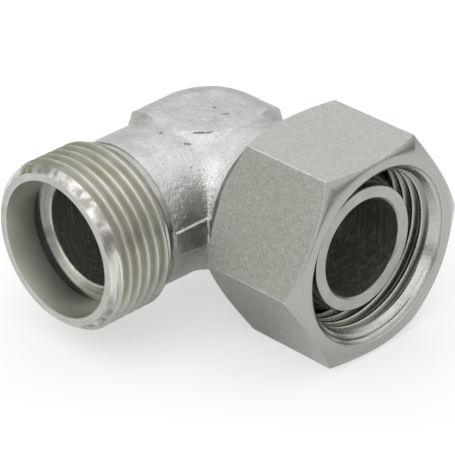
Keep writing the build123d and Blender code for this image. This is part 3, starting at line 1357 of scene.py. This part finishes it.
@dataclass
class SwivelSpigot:
    """The shank that the nut turns round, with its collar, wire groove, cone and seal groove."""

    material: Material
    tip_at: float = 36.0
    tip: float = 11.0
    tip_edge: float = 0.12
    tip_over: float = 0.02
    bore: float = 8.7
    edge: float = 0.3
    cone_slope: float = math.tan(math.radians(12))
    cone_start: float = 28.7
    groove_front: float = 32.6
    groove_back: float = 30.0
    groove_floor: float = 10.6
    shank: float = 13.0
    wire: WireGroove = WireGroove()
    collar: float = 13.6
    collar_end: float = 17.7
    collar_start: float = 15.0
    hidden_end: float = 13.9
    segments: int = 180

    def cone(self, along: float) -> tuple[float, float]:
        """The radius and place of the cone at a distance along the leg."""
        return self.tip + (self.tip_at - along) * self.cone_slope, along

    def make(self, lathe: Lathe) -> Object:
        """Turns the spigot.

        Args:
            lathe: what turns it.

        Returns:
            The spigot.
        """
        large = self.cone(self.cone_start)
        outline = path(
            (self.bore + self.edge, self.tip_at),
            (self.tip - self.tip_edge, self.tip_at),
            (self.tip + self.tip_over, self.tip_at - self.tip_edge),
            self.cone(self.groove_front),
            (self.groove_floor, self.groove_front),
            (self.groove_floor, self.groove_back),
            self.cone(self.groove_back),
            large,
            (self.shank, self.cone_start - (self.shank - large[0])),
        )
        outline += self.wire.points(-1)
        outline += path(
            (self.shank, self.collar_end),
            (self.collar - self.edge, self.collar_end),
            (self.collar, self.collar_end - self.edge),
            (self.collar, self.collar_start + self.edge),
            (self.collar - self.edge, self.collar_start),
            (self.shank, self.collar_start),
            (self.shank, self.hidden_end),
            (self.bore, self.hidden_end),
            (self.bore, self.tip_at - self.edge),
        )
        return lathe.turn("swivel_spigot", Leg.NUT, outline, self.material, self.segments)


@dataclass
class SwivelNut:
    """The hexagon nut: chamfered hexagon, countersunk inside thread, undercut and throat."""

    material: Material
    countersink: float = 15.87
    lip: float = 0.05
    lip_width: float = 0.06
    segments: int = 300
    throat: float = 13.08
    throat_end: float = 25.6
    edge: float = 0.3
    wire: WireGroove = WireGroove()
    undercut: float = 15.2
    hexagon: Hexagon = Hexagon(
        across=35.6,
        turn=1.8,
        corner=0.25,
        front=39.6,
        front_circle=17.5,
        back=18.3,
        back_circle=17.3,
    )
    thread: Thread = Thread(
        crest=13.92,
        depth=1.08,
        pitch=2.0,
        low=28.2,
        high=38.95,
        crest_at=30.0,
        front=Slope(15.1, 38.95, -math.tan(math.radians(30))),
        back=Slope(15.2, 28.2, -1.0),
        outside=False,
        crest_flat=0.22,
        root_flat=0.12,
    )

    def make(self, lathe: Lathe) -> Object:
        """Turns the nut.

        Args:
            lathe: what turns it.

        Returns:
            The nut.
        """
        front, back = self.hexagon.front, self.hexagon.back
        outline = path(
            (self.countersink, front - self.lip),
            (self.countersink + self.lip_width, front),
            (self.hexagon.front_circle, front),
        )
        outline += self.hexagon.points()
        outline += path(
            (self.hexagon.back_circle, back),
            (self.throat + self.edge, back),
            (self.throat, back + self.edge),
        )
        outline += self.wire.points(1)
        outline += path(
            (self.throat, self.throat_end - (self.undercut - self.throat)),
            (self.undercut, self.throat_end),
        )
        outline += self.thread.points()
        outline += path((self.thread.front.radius, self.thread.high))
        sizes = (self.segments, self.thread, self.hexagon)
        return lathe.turn("hexagon_nut", Leg.NUT, outline, self.material, *sizes)


# ---- Studio ----


@dataclass(frozen=True)
class Lamp:
    """A soft square lamp that looks at the middle of the object. Metres and watts."""

    name: str
    place: tuple[float, float, float]
    size: float
    power: float
    colour: Colour = (1.0, 1.0, 1.0)


@dataclass(frozen=True)
class Card:
    """A curved card far round the object that only reflections show.

    It is darkest at the floor and fades to white at its top. Degrees from +X towards +Y.
    """

    name: str
    middle: float
    spread: float
    top: float
    tone: Colour
    away: float = 0.9
    steps: int = 24


@dataclass
class Studio:
    """Pale floor, even light, cards for the metal to reflect and the camera."""

    azimuth: float = 45.756
    elevation: float = 30.115
    roll: float = -0.842
    focal: float = 2757.0 / 455
    sensor: float = 36.0
    distance: float = 0.47307
    aside: float = 0.003106
    above: float = -0.009115
    floor_gap: float = 0.0001
    floor_half: float = 3.0
    sky: float = 0.75
    lamps: tuple[Lamp, ...] = (
        Lamp("key_lamp", (0.05, -0.55, 0.55), 0.7, 1.0),
        Lamp("top_lamp", (0.1, 0.1, 0.9), 0.7, 0.6),
    )
    cards: tuple[Card, ...] = (
        Card("left_card", 225, 90, 30, (0.30, 0.31, 0.20)),
        Card("far_left_card", 160, 40, 14, (0.10, 0.10, 0.09)),
        Card("back_card", 65, 150, 21, (0.12, 0.12, 0.10)),
        Card("front_card", -50, 80, 13, (0.10, 0.09, 0.08)),
    )
    # Painted shadow: the round card under the object, seen only in reflections, dark in its middle.
    under_near: float = 0.011
    under_far: float = 0.040
    under_tone: Colour = (0.34, 0.335, 0.32)
    under_steps: int = 48
    floor_paint: Colour = (0.6, 0.6, 0.6)
    floor_glow: float = 0.5

    def make(self) -> None:
        """Builds the floor, the world, the lamps, the cards and the camera."""
        bpy.context.scene.view_settings.view_transform = "Standard"
        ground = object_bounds()[0][2] - self.floor_gap
        self._floor(ground)
        self._world()
        for lamp in self.lamps:
            self._lamp(lamp)
        for card in self.cards:
            self._card(card, ground)
        self._under_card()
        self._camera()

    @staticmethod
    def _sheet(name: str, corners: list[tuple], faces: list[tuple]) -> Object:
        """Makes a flat or bent sheet of the stage, which isn't part of the object.

        Args:
            name: the sheet's name.
            corners: its corners, in metres.
            faces: its faces, as numbers of corners.

        Returns:
            The sheet.
        """
        mesh = bpy.data.meshes.new(name)
        mesh.from_pydata(corners, [], faces)
        obj = new_object(name, mesh)
        obj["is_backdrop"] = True
        return obj

    @staticmethod
    def _ring(radius: float, turns: list[float]) -> list[tuple[float, float]]:
        """Points of a circle, at turns in radians."""
        return [(radius * math.cos(turn), radius * math.sin(turn)) for turn in turns]

    @staticmethod
    def _seen(tree: Tree) -> Num:
        """1 for rays from the camera, reflections and glass, 0 for the rest.

        Args:
            tree: the tree that the nodes go into.

        Returns:
            The number.
        """
        rays = tree.node("ShaderNodeLightPath")
        kinds = ("Camera", "Glossy", "Transmission")
        camera, glossy, glass = (tree.num(rays.outputs[f"Is {kind} Ray"]) for kind in kinds)
        return (camera + glossy + glass).at_most(1.0)

    def _floor(self, height: float) -> None:
        """A white floor that keeps the object's shadow.

        Args:
            height: where it lies.
        """
        half = self.floor_half
        corners = [(x * half, y * half, height) for x, y in ((-1, -1), (1, -1), (1, 1), (-1, 1))]
        floor = self._sheet("floor", corners, [(0, 1, 2, 3)])
        material = bpy.data.materials.new("floor_white")
        material.use_nodes = True
        tree = Tree(material.node_tree)
        tree.nodes.nodes.clear()
        paint = tree.node("ShaderNodeBsdfDiffuse", sockets={"Color": (*self.floor_paint, 1.0)})
        strength = {"Strength": self._seen(tree) * self.floor_glow}
        glow = tree.node("ShaderNodeEmission", sockets=strength)
        both = tree.node("ShaderNodeAddShader", sockets={0: paint.outputs[0], 1: glow.outputs[0]})
        tree.node("ShaderNodeOutputMaterial", sockets={0: both.outputs[0]})
        floor.data.materials.append(material)

    def _world(self) -> None:
        """Even light, and white where the background is seen."""
        world = bpy.data.worlds.new("studio_sky")
        bpy.context.scene.world = world
        world.use_nodes = True
        tree = Tree(world.node_tree)
        tree.nodes.nodes.clear()
        sockets = {0: self._seen(tree)}
        for side, strength in ((1, self.sky), (2, 1.0)):
            colour = {"Color": (1.0, 1.0, 1.0, 1.0), "Strength": strength}
            sockets[side] = tree.node("ShaderNodeBackground", sockets=colour).outputs[0]
        both = tree.node("ShaderNodeMixShader", sockets=sockets)
        tree.node("ShaderNodeOutputWorld", sockets={0: both.outputs[0]})

    @staticmethod
    def _lamp(lamp: Lamp) -> None:
        """Hangs one lamp.

        Args:
            lamp: the lamp.
        """
        data = bpy.data.lights.new(lamp.name, "AREA")
        data.energy, data.size, data.color = lamp.power, lamp.size, lamp.colour
        obj = bpy.data.objects.new(lamp.name, data)
        obj.location = lamp.place
        obj.rotation_euler = (-Vector(lamp.place)).to_track_quat("-Z", "Y").to_euler()
        bpy.context.scene.collection.objects.link(obj)

    @staticmethod
    def _card(card: Card, floor: float) -> None:
        """Stands one card up.

        Args:
            card: the card.
            floor: height of the floor.
        """
        top = card.away * math.tan(math.radians(card.top))
        shares = [step / card.steps - 0.5 for step in range(card.steps + 1)]
        turns = [math.radians(card.middle + card.spread * share) for share in shares]
        ring = Studio._ring(card.away, turns)
        corners = [(x, y, z) for z in (floor, top) for x, y in ring]
        upper = len(ring)
        faces = [(i, i + upper, i + upper + 1, i + 1) for i in range(card.steps)]
        obj = Studio._sheet(card.name, corners, faces)
        tree = MaterialTree(card.name)
        rise = tree.parts(tree.place)[2].ramp(floor / MM, top / MM)
        Studio._glow(obj, tree, tree.mixed(rise**1.5, card.tone, (1.0, 1.0, 1.0)))

    def _under_card(self) -> None:
        """Lays a painted shadow under the object: a round card, dark in its middle, that only
        reflections show.
        """
        low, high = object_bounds()
        middle = ((low[0] + high[0]) / 2, (low[1] + high[1]) / 2, low[2] - self.floor_gap / 2)
        turns = [math.tau * step / self.under_steps for step in range(self.under_steps)]
        ring = self._ring(self.under_far, turns)
        corners = [(middle[0] + x, middle[1] + y, middle[2]) for x, y in ring]
        obj = self._sheet("under_card", corners, [tuple(range(self.under_steps))])
        tree = MaterialTree("under_card")
        apart = tree.away_from(tuple(value / MM for value in middle))
        fade = apart.ramp(self.under_near / MM, self.under_far / MM)
        self._glow(obj, tree, tree.mixed(fade, self.under_tone, (1.0, 1.0, 1.0)))

    @staticmethod
    def _glow(obj: Object, tree: MaterialTree, tone: NodeSocket) -> None:
        """Gives a card its tone, for reflections alone.

        Args:
            obj: the card.
            tree: its material's nodes.
            tone: its colour.
        """
        for rays in ("camera", "diffuse", "shadow", "transmission"):
            setattr(obj, f"visible_{rays}", False)
        tree.set(Base_Color=(0.0, 0.0, 0.0, 1.0), Specular_IOR_Level=0.0, Roughness=1.0)
        tree.set(Emission_Color=tone, Emission_Strength=1.0)
        obj.data.materials.append(tree.material)

    def _camera(self) -> None:
        """Sets the camera up at its place and angle."""
        angles = (self.azimuth, self.elevation, self.roll)
        azimuth, elevation, roll = (math.radians(angle) for angle in angles)
        level = math.cos(elevation)
        back = Vector((math.sin(azimuth) * level, -math.cos(azimuth) * level, math.sin(elevation)))
        right = Vector((math.cos(azimuth), math.sin(azimuth), 0.0))
        up = back.cross(right)
        lean = Matrix.Rotation(roll, 3, back)
        right, up = lean @ right, lean @ up
        data = bpy.data.cameras.new("camera")
        data.sensor_width = self.sensor
        data.lens = self.focal * self.sensor
        data.clip_start, data.clip_end = 0.01, 20.0
        camera = bpy.data.objects.new("camera", data)
        pose = Matrix((right, up, back)).transposed().to_4x4()
        pose.translation = right * self.aside + up * self.above + back * self.distance
        camera.matrix_world = pose
        bpy.context.scene.collection.objects.link(camera)
        bpy.context.scene.camera = camera


# ---- The fitting ----


@dataclass
class SwivelElbow:
    """The whole fitting, piece by piece."""

    nodes: dict[str, Object]
    lathe: Lathe = field(default_factory=Lathe)

    def make(self) -> None:
        """Builds every piece and hangs it on its body."""
        skin = ForgedZinc("forged_zinc").material()
        male = TurnedZinc(
            "turned_zinc_male",
            Leg.MALE,
            bore=MaleTubeEnd.bore,
            crest=MaleTubeEnd.thread.crest,
            face_at=MaleTubeEnd.face_at,
            face=MaleTubeEnd.face,
            thread_from=23.0,
            mouth=12.2,
            socket=MaleTubeEnd.socket,
            floor=MaleTubeEnd.socket_floor,
        ).material()
        tones = {"dark": (0.34, 0.33, 0.305), "light": (0.46, 0.45, 0.42)}
        spigot = TurnedZinc("turned_zinc_spigot", Leg.NUT, SwivelSpigot.bore, **tones).material()
        nut = NutZinc(
            "hexagon_zinc",
            SwivelNut.hexagon,
            inside=15.3,
            crest=SwivelNut.thread.crest,
            lead_in=SwivelNut.thread.front,
        ).material()
        self._hang(ElbowForging(skin).make(self.lathe), "elbow", "elbow_body", "body_steel")
        self._hang(MaleTubeEnd(male).make(self.lathe), "elbow", "elbow_body", "body_steel")
        self._hang(SwivelSpigot(spigot).make(self.lathe), "elbow", "elbow_body", "body_steel")
        self._hang(SwivelNut(nut).make(self.lathe), "nut", "swivel_nut", "nut_steel")
        self._dress("nut_retaining_wire", DrawnWire("drawn_wire").material())
        self._dress("cone_seal_ring", SealRubber("seal_rubber").material())

    @staticmethod
    def _hang(obj: Object, body: str, node: str, slot: str) -> None:
        """Puts a piece in a CAD node's place, on the node's body.

        Args:
            obj: the piece.
            body: the body that it rides on.
            node: the CAD node that it stands for.
            slot: not used.
        """
        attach(obj, body)
        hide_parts(node)
        log.info("%s: %d faces on %s", obj.name, len(obj.data.polygons), body)

    def _dress(self, node: str, material: Material) -> None:
        """Gives a CAD node its material."""
        self.nodes[node].material_slots[0].material = material
        log.info("%s: keeps its own shape", node)


def main() -> None:
    """Loads the frame, builds the fitting and the studio."""
    logging.basicConfig(level=logging.INFO, format="%(name)s: %(message)s")
    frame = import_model()
    SwivelElbow(frame["nodes"]).make()
    Studio().make()


if __name__ == "__main__":
    main()
